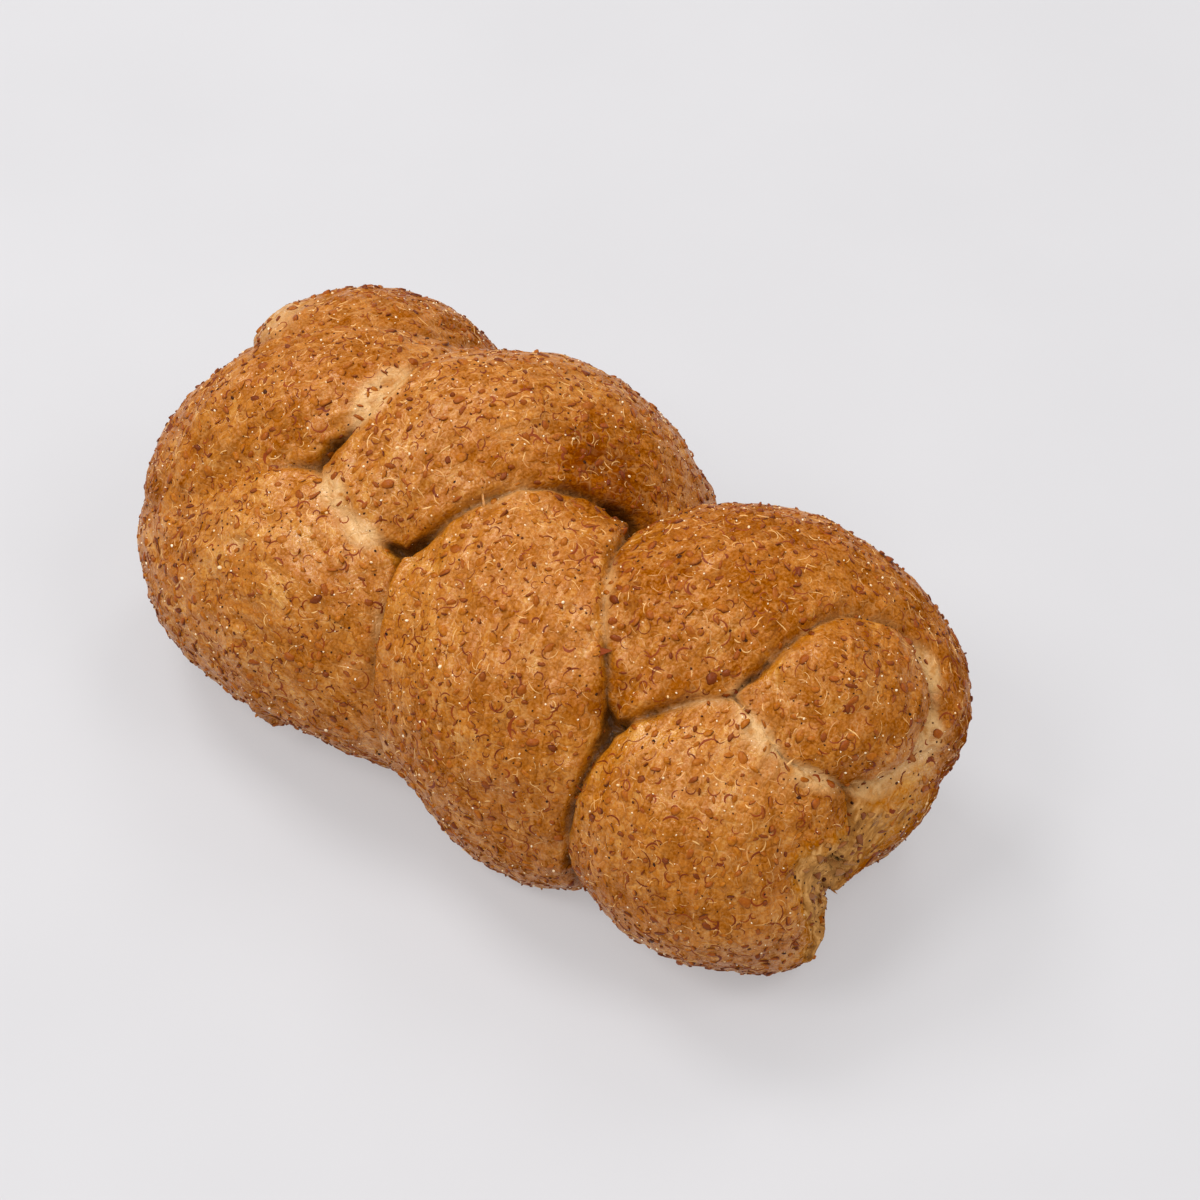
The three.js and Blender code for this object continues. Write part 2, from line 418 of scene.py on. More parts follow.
def strand_surface(stations):
    """Points and faces of one strand: a blunt ball drawn out along its stations."""
    angle = np.linspace(0, math.pi, STRAND_STEPS + 1)[1:-1]
    axial = np.cos(angle)
    girth = (1 - np.abs(axial) ** BLUNTNESS) ** (1 / BLUNTNESS)
    centre, _, side, out, width, height = sections(stations, (1 - axial) / 2)
    turn = np.linspace(0, 2 * math.pi, STRAND_SIDES, endpoint=False)[None, :, None]
    wide = side * (width * girth)[:, None]
    high = out * (height * girth)[:, None]
    rings = centre[:, None] + wide[:, None] * np.cos(turn) + high[:, None] * np.sin(turn)
    poles = along(stations, np.array([0.0, 1.0]))[:, :3]
    points = np.concatenate([rings.reshape(-1, 3), poles])
    corner = np.arange(STRAND_SIDES)
    after = (corner + 1) % STRAND_SIDES
    faces = []
    for ring in range(len(angle) - 1):
        near = ring * STRAND_SIDES
        far = near + STRAND_SIDES
        faces += np.stack([near + corner, near + after, far + after, far + corner], axis=1).tolist()
    first_pole = len(points) - 2
    last_ring = first_pole - STRAND_SIDES
    faces += [[int(b), int(a), first_pole] for a, b in zip(corner, after)]
    faces += [[int(last_ring + a), int(last_ring + b), first_pole + 1] for a, b in zip(corner, after)]
    return points, faces


# Skin of the crust

def remeshed(surfaces):
    """One closed skin of quads round overlapping closed surfaces."""
    points = np.concatenate([surface_points for surface_points, _ in surfaces])
    faces = []
    start = 0
    for surface_points, surface_faces in surfaces:
        faces += [[start + corner for corner in face] for face in surface_faces]
        start += len(surface_points)
    mesh = bpy.data.meshes.new("strands")
    mesh.from_pydata(points.tolist(), [], faces)
    item = bpy.data.objects.new("strands", mesh)
    bpy.context.collection.objects.link(item)
    modifier = item.modifiers.new("skin", "REMESH")
    modifier.mode = "VOXEL"
    modifier.voxel_size = VOXEL
    shape = item.evaluated_get(bpy.context.evaluated_depsgraph_get()).to_mesh()
    skin_points = np.empty(len(shape.vertices) * 3)
    shape.vertices.foreach_get("co", skin_points)
    corners = np.empty(len(shape.loops), int)
    shape.loops.foreach_get("vertex_index", corners)
    bpy.data.objects.remove(item)
    bpy.data.meshes.remove(mesh)
    return skin_points.reshape(-1, 3), corners.reshape(-1, 4)


def neighbour_mean(values, quads):
    """Mean of each column over every point's neighbours."""
    count = len(values)
    first = quads.ravel()
    second = np.roll(quads, -1, axis=1).ravel()
    number = np.bincount(first, minlength=count) + np.bincount(second, minlength=count)
    columns = []
    for column in values.T:
        total = np.bincount(first, column[second], count) + np.bincount(second, column[first], count)
        columns.append(total / number)
    return np.stack(columns, axis=1)


def evened(values, quads, rounds):
    """Columns averaged over the neighbours, again and again."""
    for _ in range(rounds):
        values = (values + neighbour_mean(values, quads)) / 2
    return values


def smoothed(points, quads):
    """Points with the stair steps of the voxels taken out, without shrinking."""
    for _ in range(SMOOTH_ROUNDS):
        for pull in (SMOOTH_IN, SMOOTH_OUT):
            points = points + pull * (neighbour_mean(points, quads) - points)
    return points


def point_normals(points, quads):
    """Outward normal at each point."""
    corner = points[quads]
    facing = np.cross(corner[:, 2] - corner[:, 0], corner[:, 3] - corner[:, 1])
    columns = []
    for axis in range(3):
        columns.append(np.bincount(quads.ravel(), np.repeat(facing[:, axis], 4), len(points)))
    return unit(np.stack(columns, axis=1))


def strand_gaps(points, surfaces):
    """Distance from each point to the surface of each strand, up to the reach."""
    gaps = np.full((len(points), len(surfaces)), float(GAP_REACH))
    for column, (surface_points, faces) in enumerate(surfaces):
        tree = BVHTree.FromPolygons(surface_points.tolist(), faces)
        low = surface_points.min(axis=0) - GAP_REACH
        high = surface_points.max(axis=0) + GAP_REACH
        near = np.flatnonzero(np.all((points > low) & (points < high), axis=1))
        for row, place in zip(near, points[near].tolist()):
            found, _, _, distance = tree.find_nearest(place, GAP_REACH)
            if found is not None:
                gaps[row, column] = distance
    return gaps


def rough(points, size, seed):
    """Smooth noise from -1 to 1 at each point, with bumps of about this size."""
    moved = points / size + NOISE_STEP * seed
    return np.array([noise.noise(place) for place in moved.tolist()])


def near_spots(points, spots):
    """Each amount of the spots, summed at every point and fading out at each spot's reach."""
    total = np.zeros((len(spots[0]) - 4, len(points)))
    for x, y, z, reach, *amounts in spots:
        away = np.linalg.norm(points - np.array([x, y, z]), axis=1) / reach
        fade = np.clip(1 - away ** 2, 0, 1) ** 2
        total += np.outer(amounts, fade)
    return total


def strand_flow(points, nearest):
    """Each point's place in its strand: length along, side and out, and the strand's direction there."""
    flow = np.zeros_like(points)
    direction = np.zeros_like(points)
    share = np.linspace(0, 1, FLOW_STEPS)
    for index, stations in enumerate(STRANDS.values()):
        own = np.flatnonzero(nearest == index)
        centre, ahead, side, out, _, _ = sections(stations, share)
        steps = np.linalg.norm(np.diff(centre, axis=0), axis=1)
        length = np.concatenate([[0], np.cumsum(steps)])
        step = np.argmin(np.linalg.norm(points[own, None] - centre[None], axis=2), axis=1)
        offset = points[own] - centre[step]
        flow[own, 0] = length[step] + dot(offset, ahead[step])[:, 0] + FLOW_APART * index
        flow[own, 1] = dot(offset, side[step])[:, 0]
        flow[own, 2] = dot(offset, out[step])[:, 0]
        direction[own] = ahead[step]
    return flow, direction


def border_line(points, quads, gaps, nearest):
    """Points along the borders between strands, and the quad and the two strands of each."""
    after = np.roll(quads, -1, axis=1)
    mine = nearest[quads]
    other = nearest[after]
    crossed = mine != other
    ahead = gaps[quads, other] - gaps[quads, mine]
    behind = gaps[after, mine] - gaps[after, other]
    share = ahead / np.maximum(ahead + behind, 1e-9)
    places = points[quads] + (points[after] - points[quads]) * share[..., None]
    paired = np.flatnonzero(crossed.sum(axis=1) == 2)
    middles = places[paired][crossed[paired]].reshape(-1, 2, 3).mean(axis=1)
    owners = np.concatenate([np.nonzero(crossed)[0], paired])
    pairs = np.stack([mine, other], axis=2)
    first = np.argmax(crossed[paired], axis=1)
    sides = np.concatenate([pairs[crossed], pairs[paired, first]])
    return np.concatenate([places[crossed], middles]), owners, sides


def find_creases(points, quads, normals, gaps, nearest):
    """Distance to the nearest crease, how sharp it is, and which side of an overlap the point is on."""
    hollow = dot(neighbour_mean(points, quads) - points, normals)
    hollow = evened(hollow, quads, HOLLOW_ROUNDS)[:, 0]
    places, owners, sides = border_line(points, quads, gaps, nearest)
    sharpness = np.clip((hollow[quads].mean(axis=1)[owners] - HOLLOW_FLAT) / HOLLOW_SHARP, 0, 1)
    tree = kdtree.KDTree(len(places))
    for index, place in enumerate(places.tolist()):
        tree.insert(place, index)
    tree.balance()
    found = [tree.find(place) for place in points.tolist()]
    distance = np.array([away for _, _, away in found])
    index = np.array([number for _, number, _ in found])
    sharp = evened(sharpness[index][:, None], quads, SHARP_ROUNDS)[:, 0]
    names = list(STRANDS)
    over = np.zeros((len(names), len(names)))
    for above, below in OVER:
        over[names.index(above), names.index(below)] = 1
        over[names.index(below), names.index(above)] = -1
    first, second = sides[index].T
    upper = np.where(nearest == second, over[second, first], 0)
    upper = np.where(nearest == first, over[first, second], upper)
    return distance, sharp, upper


def slit_depth(crease):
    """Depth of a crease at a distance from its border: the space between two round lobes."""
    rounded = np.sqrt(crease ** 2 + SLIT_ROUNDING ** 2) - SLIT_ROUNDING
    inward = np.clip(1 - rounded / SLIT_RADIUS, 0, 1)
    return SLIT_RADIUS * (1 - np.sqrt(1 - inward ** 2))


def tear_out(points, normals):
    """Points inside torn-out chunks, moved in to each chunk's far wall, and how torn each point is."""
    torn = np.zeros(len(points))
    for x, y, z, radius in TEAR:
        offset = points - np.array([x, y, z])
        size = radius * (1 + TEAR_RAGGED * rough(points, TEAR_RAG_SIZE, radius))
        lean = dot(offset, normals)[:, 0]
        inside = size ** 2 - np.sum(offset ** 2, axis=1)
        depth = np.where(inside > 0, lean + np.sqrt(np.maximum(inside + lean ** 2, 0)), 0)
        points = points - normals * depth[:, None]
        near = np.linalg.norm(offset, axis=1) / (radius + TEAR_FRAY)
        torn = np.maximum(torn, np.clip(2 - 2 * near, 0, 1))
    return points, torn


def make_skin():
    """The crust's points and quads, with each point's normal, strand direction and colour values."""
    surfaces = [strand_surface(stations) for stations in STRANDS.values()]
    points, quads = remeshed(surfaces)
    points = smoothed(points, quads)
    gaps = strand_gaps(points, surfaces)
    names = list(STRANDS)
    for part, whole in SAME_PIECE.items():
        joined = [names.index(part), names.index(whole)]
        gaps[:, joined[1]] = gaps[:, joined].min(axis=1)
        gaps[:, joined[0]] = GAP_REACH
    nearest = np.argmin(gaps, axis=1)
    flow, direction = strand_flow(points, nearest)
    normals = point_normals(points, quads)
    crease, sharp, upper = find_creases(points, quads, normals, gaps, nearest)
    inner = np.clip(crease / BORDER_FADE, 0, 1)
    crease = np.maximum(crease + SLIT_WANDER * rough(points, SLIT_WANDER_SIZE, 5), 0)
    deeper, paler, grooved = near_spots(points, CREASE_SPOTS)
    soft = np.clip(paler, 0, 1) * np.exp(-(crease / PALE_SOFT_REACH) ** 2)
    points = points + soft[:, None] * (evened(points, quads, PALE_SOFT_ROUNDS) - points)
    normals = point_normals(points, quads)
    pit, bare = near_spots(points, PITS)
    torn = near_spots(points, TORN_SPOTS)[0]
    wrinkle = WRINKLE + EDGE_WRINKLE * np.exp(-crease / EDGE_REACH)
    swell = SWELL * rough(points, SWELL_SIZE, 1)
    swell += LUMP * rough(points, LUMP_SIZE, 2)
    swell += BUMP * rough(points, BUMP_SIZE, 3)
    swell += inner * wrinkle * rough(flow * WRINKLE_STRETCH, WRINKLE_SIZE, 4)
    swell += inner * near_spots(points, FOLD_SPOTS)[0] * rough(flow * FOLD_STRETCH, FOLD_SIZE, 7)
    swell += inner * TORN_ROUGH * torn * rough(flow * TORN_STRETCH, TORN_SIZE, 6)
    steady = unit(evened(normals, quads, STEADY_ROUNDS))
    slit = sharp * np.clip(1 + deeper, 0, DEEPEST)
    fill = CREASE_FILL * sharp * np.exp(-(crease / CREASE_FILL_REACH) ** 2)
    fill *= 1 + PALE_FILL * np.clip(paler, 0, 1)
    lap = OVERLAP * upper * sharp * np.clip(1 + deeper, 0, 1)
    lap *= (1 - np.exp(-crease / OVERLAP_START)) * np.exp(-(crease / OVERLAP_REACH) ** 2)
    groove = grooved * np.exp(-(crease / GROOVE_WIDTH) ** 2)
    stretched = np.clip(PALE_LEAST + paler, 0, 1) * np.where(upper > 0, PALE_ABOVE, 1)
    pale_width = PALE_WIDTH + PALE_SPREAD * np.clip(paler, 0, 1)
    pale = np.clip(PALE_FULL - crease / pale_width, 0, 1) * stretched
    pale *= np.maximum(sharp, np.clip(paler, 0, 1))
    pale += groove * paler + bare
    pale = np.clip(pale, 0, 1)
    swell += inner * PALE_WRINKLE * pale * rough(flow * PALE_STRETCH, PALE_WRINKLE_SIZE, 8)
    drop = SLIT_DEPTH * slit * slit_depth(crease) + groove + pit - fill - lap
    points = points + normals * swell[:, None] - steady * drop[:, None]
    points, gouged = tear_out(points, normals)
    height = points[:, 2]
    points[:, 2] = (height + np.sqrt(height ** 2 + BASE_ROUNDING ** 2)) / 2
    points[:, 2] -= points[:, 2].min()
    normals = point_normals(points, quads)
    tone = np.array([STRAND_TONE.get(name, 0) for name in STRANDS])[nearest]
    values = {
        # Baked tone of each strand, with painted shade added at the foot and in the shade spots.
        "baked": tone + near_spots(points, TONE_AND_SHADE_SPOTS)[0] + FOOT_PAINTED_SHADE * (1 - points[:, 2] / ROLL_HEIGHT),
        "pale": pale,
        "shadow": np.clip(slit - crease / SHADOW_WIDTH, 0, 1),
        "torn": np.clip(np.maximum(torn, gouged), 0, 1),
        "flow": flow,
        "inner": inner,
    }
    clear_reach = CLEAR_REACH * np.sqrt(np.maximum(slit, 1))
    clear = 1 - np.sqrt(np.clip(slit, 0, 1)) * np.exp(-(crease / clear_reach) ** 2)
    return {
        "points": points,
        "quads": quads,
        "normals": normals,
        "direction": direction,
        "clear": clear,
        "values": values,
    }


# Things on the crust

def scatter(skin, number, spacing, chance, random):
    """Spots spread over the crust by chance, none nearer to another than the spacing."""
    quads = skin["quads"]
    corner = skin["points"][quads]
    area = np.linalg.norm(np.cross(corner[:, 2] - corner[:, 0], corner[:, 3] - corner[:, 1]), axis=1)
    weight = area * chance[quads].mean(axis=1)
    picked = random.choice(len(quads), number * SCATTER_TRIES, p=weight / weight.sum())
    u, v = random.random((2, len(picked)))
    shares = np.stack([(1 - u) * (1 - v), u * (1 - v), u * v, (1 - u) * v], axis=1)
    places = np.sum(corner[picked] * shares[..., None], axis=1)
    homes = np.floor(places / spacing).astype(int).tolist()
    near = [(i, j, k) for i in (-1, 0, 1) for j in (-1, 0, 1) for k in (-1, 0, 1)]
    cells = {}
    kept = []
    for index, (x, y, z) in enumerate(homes):
        others = [other for i, j, k in near for other in cells.get((x + i, y + j, z + k), ())]
        if others and np.min(np.sum((places[others] - places[index]) ** 2, axis=1)) < spacing ** 2:
            continue
        cells.setdefault((x, y, z), []).append(index)
        kept.append(index)
        if len(kept) == number:
            break
    owners = quads[picked[kept]]
    normals = unit(skin["normals"][owners].mean(axis=1))
    ahead = skin["direction"][owners[:, 0]]
    ahead = unit(ahead - normals * dot(ahead, normals))
    return {
        "places": places[kept],
        "normals": normals,
        "ahead": ahead,
        "across": np.cross(normals, ahead),
        "baked": skin["values"]["baked"][owners[:, 0]],
    }


def laid(flat, rise, normals):
    """Rows of points moved onto the skin and then lifted along each row's normal."""
    down = [skin_tree.find_nearest(place)[0] for place in flat.reshape(-1, 3).tolist()]
    return np.array(down).reshape(flat.shape) + normals[:, None] * rise[..., None]


def chips(spots, half, slimness, height, sides, random, pointed=0.0, centre=1.0, low_side=0.7):
    """Small plates with uneven outlines and one side lifted: points, triangles and colour values."""
    places = spots["places"]
    count = len(places)
    turn = random.uniform(0, 2 * math.pi, count)[:, None]
    long_axis = (spots["ahead"] * np.cos(turn) + spots["across"] * np.sin(turn)) * half[:, None]
    short_axis = spots["across"] * np.cos(turn) - spots["ahead"] * np.sin(turn)
    short_axis *= (half * slimness)[:, None]
    angle = np.linspace(0, 2 * math.pi, sides, endpoint=False)
    reach = 1 + pointed * np.cos(angle) + random.normal(0, CHIP_WOBBLE, (count, sides))
    lifted = 0.5 + 0.5 * np.cos(angle - random.uniform(0, 2 * math.pi, count)[:, None])
    forward = (np.cos(angle) * reach)[..., None]
    sideways = (np.sin(angle) * reach)[..., None]
    outline = long_axis[:, None] * forward + short_axis[:, None] * sideways
    middle = places[:, None]
    flat = np.concatenate([middle, middle + CHIP_INNER * outline, middle + outline], axis=1)
    top = height[:, None] * (low_side + (1 - low_side) * lifted)
    rise = np.concatenate([centre * height[:, None], top, np.full((count, sides), -CHIP_SINK)], axis=1)
    points = laid(flat, rise, spots["normals"])
    corner = np.arange(sides)
    after = (corner + 1) % sides
    inner = 1
    outer = 1 + sides
    fan = np.stack([np.zeros(sides, int), inner + corner, inner + after], axis=1)
    band_in = np.stack([inner + corner, outer + corner, outer + after], axis=1)
    band_out = np.stack([inner + corner, outer + after, inner + after], axis=1)
    pattern = np.concatenate([fan, band_in, band_out])
    each = points.shape[1]
    faces = (np.arange(count) * each)[:, None, None] + pattern
    # Dark rim on the lifted side, strongest on the wall under it: partly the bran's dark edge, partly
    # painted shade under the lifted edge.
    rim = np.concatenate([np.zeros((count, 1)), CHIP_INNER_RIM * lifted, lifted], axis=1)
    values = {
        "baked": np.repeat(spots["baked"], each),
        "tone": np.repeat(random.random(count), each),
        "rim": rim.ravel(),
    }
    return points.reshape(-1, 3), faces.reshape(-1, 3), values


def ridges(spots, length, half, height, bend, random):
    """Thin ridges lying on the skin, each bent by its own angle and pointed at both ends."""
    places = spots["places"]
    count = len(places)
    step = np.linspace(-0.5, 0.5, RIDGE_STEPS)
    heading = random.uniform(0, 2 * math.pi, count)[:, None] + bend[:, None] * step
    forward = np.cumsum(np.cos(heading), axis=1) * (length / RIDGE_STEPS)[:, None]
    sideways = np.cumsum(np.sin(heading), axis=1) * (length / RIDGE_STEPS)[:, None]
    taper = np.sqrt(RIDGE_BLUNTNESS - (2 * step) ** 2) * half[:, None]
    flats = []
    for offset in (-1, 0, 1):
        ahead = (forward - offset * taper * np.sin(heading))[..., None]
        aside = (sideways + offset * taper * np.cos(heading))[..., None]
        moved = places[:, None] + spots["ahead"][:, None] * ahead
        flats.append(moved + spots["across"][:, None] * aside)
    flat = np.stack(flats, axis=2).reshape(count, -1, 3)
    rise = np.tile([-RIDGE_SINK, height, -RIDGE_SINK], RIDGE_STEPS)
    points = laid(flat, np.tile(rise, (count, 1)), spots["normals"])
    pattern = []
    for row in range(RIDGE_STEPS - 1):
        for column in range(2):
            near = row * 3 + column
            pattern.append((near, near + 3, near + 4, near + 1))
    each = points.shape[1]
    faces = (np.arange(count) * each)[:, None, None] + np.array(pattern)
    values = {"tone": np.repeat(random.random(count), each)}
    return points.reshape(-1, 3), faces.reshape(-1, 4), values


def shreds(spots, half, length, random):
    """Ragged points of torn crust that stand away from the skin."""
    places = spots["places"]
    count = len(places)
    turn = np.linspace(0, 2 * math.pi, SHRED_SIDES, endpoint=False)
    swing = random.uniform(0, 2 * math.pi, count)[:, None]
    lean = spots["ahead"] * np.cos(swing) + spots["across"] * np.sin(swing)
    lift = random.uniform(SHRED_LEAST_LIFT, SHRED_MOST_LIFT, (count, 1))
    away = unit(spots["normals"] * lift + lean)
    wide = unit(np.cross(lean, spots["normals"]))
    thin = np.cross(away, wide)
    layers = []
    for share, size in SHRED_RINGS:
        grown = half[:, None] * size * (1 + random.normal(0, SHRED_RAGGED, (count, SHRED_SIDES)))
        ring = wide[:, None] * (np.cos(turn) * grown)[..., None]
        ring += thin[:, None] * (SHRED_THINNESS * np.sin(turn) * grown)[..., None]
        root = places + away * (share * length)[:, None]
        layers.append(root[:, None] + ring)
    layers.append((places + away * length[:, None])[:, None])
    points = np.concatenate(layers, axis=1)
    corner = np.arange(SHRED_SIDES)
    after = (corner + 1) % SHRED_SIDES
    upper = SHRED_SIDES
    band_in = np.stack([corner, after, upper + after], axis=1)
    band_out = np.stack([corner, upper + after, upper + corner], axis=1)
    cap = np.stack([upper + corner, upper + after, np.full(SHRED_SIDES, 2 * SHRED_SIDES)], axis=1)
    pattern = np.concatenate([band_in, band_out, cap])
    each = points.shape[1]
    faces = (np.arange(count) * each)[:, None, None] + pattern
    values = {"tone": np.repeat(random.random(count), each)}
    return points.reshape(-1, 3), faces.reshape(-1, 3), values


# Materials

# Sizes of the skin's shading, in millimetres.
PATCH_SIZE = 7
BLOTCH_SIZE = 3
MOTTLE_SIZE = 2.2
FINE_SIZE = 0.4
STREAK_SIZE = 1.0
STREAK_STRETCH = (0.3, 1.0, 1.0)
RED_FOLD_SIZE = 5.0
WARP_SIZE = 1.8
WARP = 2
LEAF_SIZE = 1.5
CLOUD_SIZE = 60


def colour(red, green, blue):
    """A colour given as it shows on a screen, 0 to 255, as the shader wants it."""
    level = np.array([red, green, blue]) / 255
    linear = np.where(level > 0.04045, ((level + 0.055) / 1.055) ** 2.4, level / 12.92)
    return (*linear.tolist(), 1)


CRUST_LIGHT = colour(212, 154, 66)
CRUST_MIDDLE = colour(177, 104, 5)
CRUST_DARK = colour(114, 49, 0)
CRUST_RED = colour(164, 86, 6)
CRUST_PALE = colour(232, 194, 136)
CRUST_TAN = colour(178, 116, 50)
CRUST_SHADOW = colour(66, 33, 8)
RIDGE = colour(214, 162, 100)
GROOVE = colour(96, 42, 6)
CRUMB = colour(170, 114, 52)
CRUMB_LIGHT = colour(212, 158, 94)
CRUMB_DARK = colour(104, 58, 18)
BRAN_LIGHT = colour(160, 78, 14)
BRAN_MIDDLE = colour(138, 58, 8)
BRAN_DARK = colour(104, 38, 2)
# Dark edge of bran, with painted shade under its lifted side.
BRAN_EDGE_AND_SHADE = colour(80, 28, 2)
# The darkest specks are painted shade in place of pores.
SPECK_LIGHT = colour(90, 42, 14)
SPECK_DARK = colour(40, 17, 6)
# Near white: painted glints on pale grains.
GRAIN_GLINT_LIGHT = colour(250, 230, 196)
GRAIN_GLINT_DARK = colour(226, 180, 118)
FIBRE_LIGHT = colour(226, 174, 104)
FIBRE_DARK = colour(188, 122, 48)
FLOOR_LIGHT = colour(144, 143, 145)
FLOOR_DARK = colour(140, 139, 141)
# Painted light: the floor glows a little so that shadows on it stay light.
FLOOR_GLOW = 0.36


class Graph:
    """A material's nodes, added one at a time with their inputs set or linked."""

    def __init__(self, name):
        self.material = bpy.data.materials.new(name)
        self.material.use_nodes = True
        self.tree = self.material.node_tree
        self.shader = self.tree.nodes["Principled BSDF"]

    def set(self, node, inputs):
        """Inputs of a node, by name or number: a socket is linked and anything else is a plain value."""
        for name, value in inputs.items():
            if isinstance(value, bpy.types.NodeSocket):
                self.tree.links.new(value, node.inputs[name])
            else:
                node.inputs[name].default_value = value

    def add(self, kind, inputs, output=0, **settings):
        """A new node's output."""
        node = self.tree.nodes.new("ShaderNode" + kind)
        for name, value in settings.items():
            setattr(node, name, value)
        self.set(node, inputs)
        return node.outputs[output]

    def value(self, name):
        return self.add("Attribute", {}, "Fac", attribute_name=name)

    def place(self):
        return self.add("TexCoord", {}, "Object")

    def sum(self, *terms):
        total = terms[0]
        for term in terms[1:]:
            total = self.add("Math", {0: total, 1: term}, operation="ADD")
        return total

    def product(self, first, second):
        return self.add("Math", {0: first, 1: second}, operation="MULTIPLY")

    def noise(self, vector, size, detail, distortion=0.0, output="Fac"):
        inputs = {"Vector": vector, "Scale": 1 / size, "Detail": detail, "Distortion": distortion}
        return self.add("TexNoise", inputs, output)

    def cells(self, vector, size, output, feature="F1"):
        return self.add("TexVoronoi", {"Vector": vector, "Scale": 1 / size}, output, feature=feature)

    def spread(self, value, low, high, to_low=0.0, to_high=1.0):
        inputs = {"Value": value, "From Min": low, "From Max": high, "To Min": to_low, "To Max": to_high}
        return self.add("MapRange", inputs)

    def mix(self, share, first, second):
        return self.add("MixRGB", {"Fac": share, "Color1": first, "Color2": second})

    def ramp(self, share, *stops):
        output = self.add("ValToRGB", {"Fac": share})
        elements = output.node.color_ramp.elements
        while len(elements) < len(stops):
            elements.new(0.5)
        for element, (position, shade) in zip(elements, stops):
            element.position = position
            element.color = shade
        return output

    def bump(self, height, strength, distance):
        return self.add("Bump", {"Height": height, "Strength": strength, "Distance": distance * MM})


def skin_ramp(graph, tone):
    """Colour of the skin by how dark it is, from -1 to 1: baked tone with painted shade added."""
    stops = (0.15, CRUST_LIGHT), (0.5, CRUST_MIDDLE), (0.85, CRUST_DARK)
    return graph.ramp(graph.spread(tone, -1.0, 1.0), *stops)


def crust_shade(graph):
    """Colour and height of the skin: crumpled like bran, pale in the creases and the tear."""
    place = graph.place()
    patches = graph.noise(place, PATCH_SIZE * MM, 3.0)
    blotches = graph.noise(place, BLOTCH_SIZE * MM, 2.0)
    mottle = graph.noise(place, MOTTLE_SIZE * MM, 5.0, 1.2)
    grain = graph.noise(place, FINE_SIZE * MM, 3.0)
    flow = graph.add("Attribute", {}, "Vector", attribute_name="flow")
    stretched = graph.add("VectorMath", {0: flow, 1: STREAK_STRETCH}, operation="MULTIPLY")
    drawn = graph.spread(graph.noise(stretched, STREAK_SIZE, 3.0, 0.6), 0.0, 1.0, -0.5, 0.5)
    streaks = graph.sum(graph.product(drawn, graph.value("inner")), 0.5)
    folds = graph.product(graph.noise(flow, RED_FOLD_SIZE, 2.0, 0.8), graph.value("inner"))
    warp = graph.noise(place, WARP_SIZE * MM, 2.0, output="Color")
    bent = graph.add("VectorMath", {0: warp, 1: (WARP * MM,) * 3, 2: place}, operation="MULTIPLY_ADD")
    leaf = graph.cells(bent, LEAF_SIZE * MM, "Color")
    edge = graph.cells(bent, LEAF_SIZE * MM, "Distance", feature="DISTANCE_TO_EDGE")
    outline = graph.product(graph.spread(edge, 0.0, 0.1, 1.0, 0.0), graph.spread(blotches, 0.45, 0.6))
    rim = graph.product(graph.spread(edge, 0.0, 0.12, 1.0, 0.0), graph.spread(blotches, 0.5, 0.4))
    tone = graph.sum(
        graph.value("baked"),
        graph.spread(patches, 0.3, 0.7, -0.2, 0.2),
        graph.spread(mottle, 0.3, 0.7, -0.16, 0.16),
        graph.spread(leaf, 0.0, 1.0, -0.15, 0.15),
        graph.spread(grain, 0.3, 0.7, -0.22, 0.22),
        graph.spread(streaks, 0.3, 0.7, -0.22, 0.22),
    )
    shade = skin_ramp(graph, tone)
    shade = graph.mix(graph.spread(folds, 0.5, 0.68, 0.0, 0.3), shade, CRUST_RED)
    shade = graph.mix(graph.product(rim, 0.25), shade, RIDGE)
    shade = graph.mix(graph.product(outline, 0.22), shade, GROOVE)
    broken = graph.sum(
        graph.spread(mottle, 0.3, 0.7, -0.4, 0.4),
        graph.spread(streaks, 0.3, 0.7, -0.3, 0.3),
    )
    stretched_skin = graph.ramp(graph.spread(broken, -0.5, 0.5), (0.0, CRUST_PALE), (1.0, CRUST_TAN))
    ragged = graph.sum(graph.value("pale"), graph.product(broken, 0.7))
    shade = graph.mix(graph.spread(ragged, 0.1, 1.0, 0.0, 0.9), shade, stretched_skin)
    threads = graph.sum(graph.product(streaks, 0.75), graph.product(mottle, 0.25))
    stops = (0.1, CRUMB_DARK), (0.5, CRUMB), (0.9, CRUMB_LIGHT)
    crumb = graph.ramp(graph.spread(threads, 0.35, 0.65), *stops)
    crumb = graph.mix(graph.spread(graph.value("torn"), 0.6, 1.0, 0.0, 0.4), crumb, CRUMB_LIGHT)
    frayed = graph.sum(graph.value("torn"), graph.spread(mottle, 0.3, 0.7, -0.25, 0.25))
    shade = graph.mix(graph.spread(frayed, 0.3, 0.7), shade, crumb)
    shade = graph.mix(graph.product(graph.value("shadow"), 0.75), shade, CRUST_SHADOW)
    height = graph.sum(
        graph.spread(mottle, 0.0, 1.0, 0.0, 0.6),
        graph.spread(leaf, 0.0, 1.0, 0.0, 0.15),
        graph.spread(edge, 0.0, 0.15, -0.15, 0.0),
        graph.spread(grain, 0.0, 1.0, 0.0, 0.2),
        graph.spread(streaks, 0.0, 1.0, 0.0, 0.6),
    )
    return shade, height, tone


def crust_material():
    """Golden brown satin skin, shiniest where it is palest."""
    graph = Graph("crust")
    shade, height, tone = crust_shade(graph)
    graph.set(graph.shader, {
        "Base Color": shade,
        "Roughness": graph.spread(tone, -0.5, 0.5, 0.25, 0.4),
        "Specular IOR Level": graph.spread(graph.sum(tone, graph.value("torn")), -0.5, 0.45, 0.75, 0.0),
        "Normal": graph.bump(height, 0.9, 0.4),
    })
    return graph.material


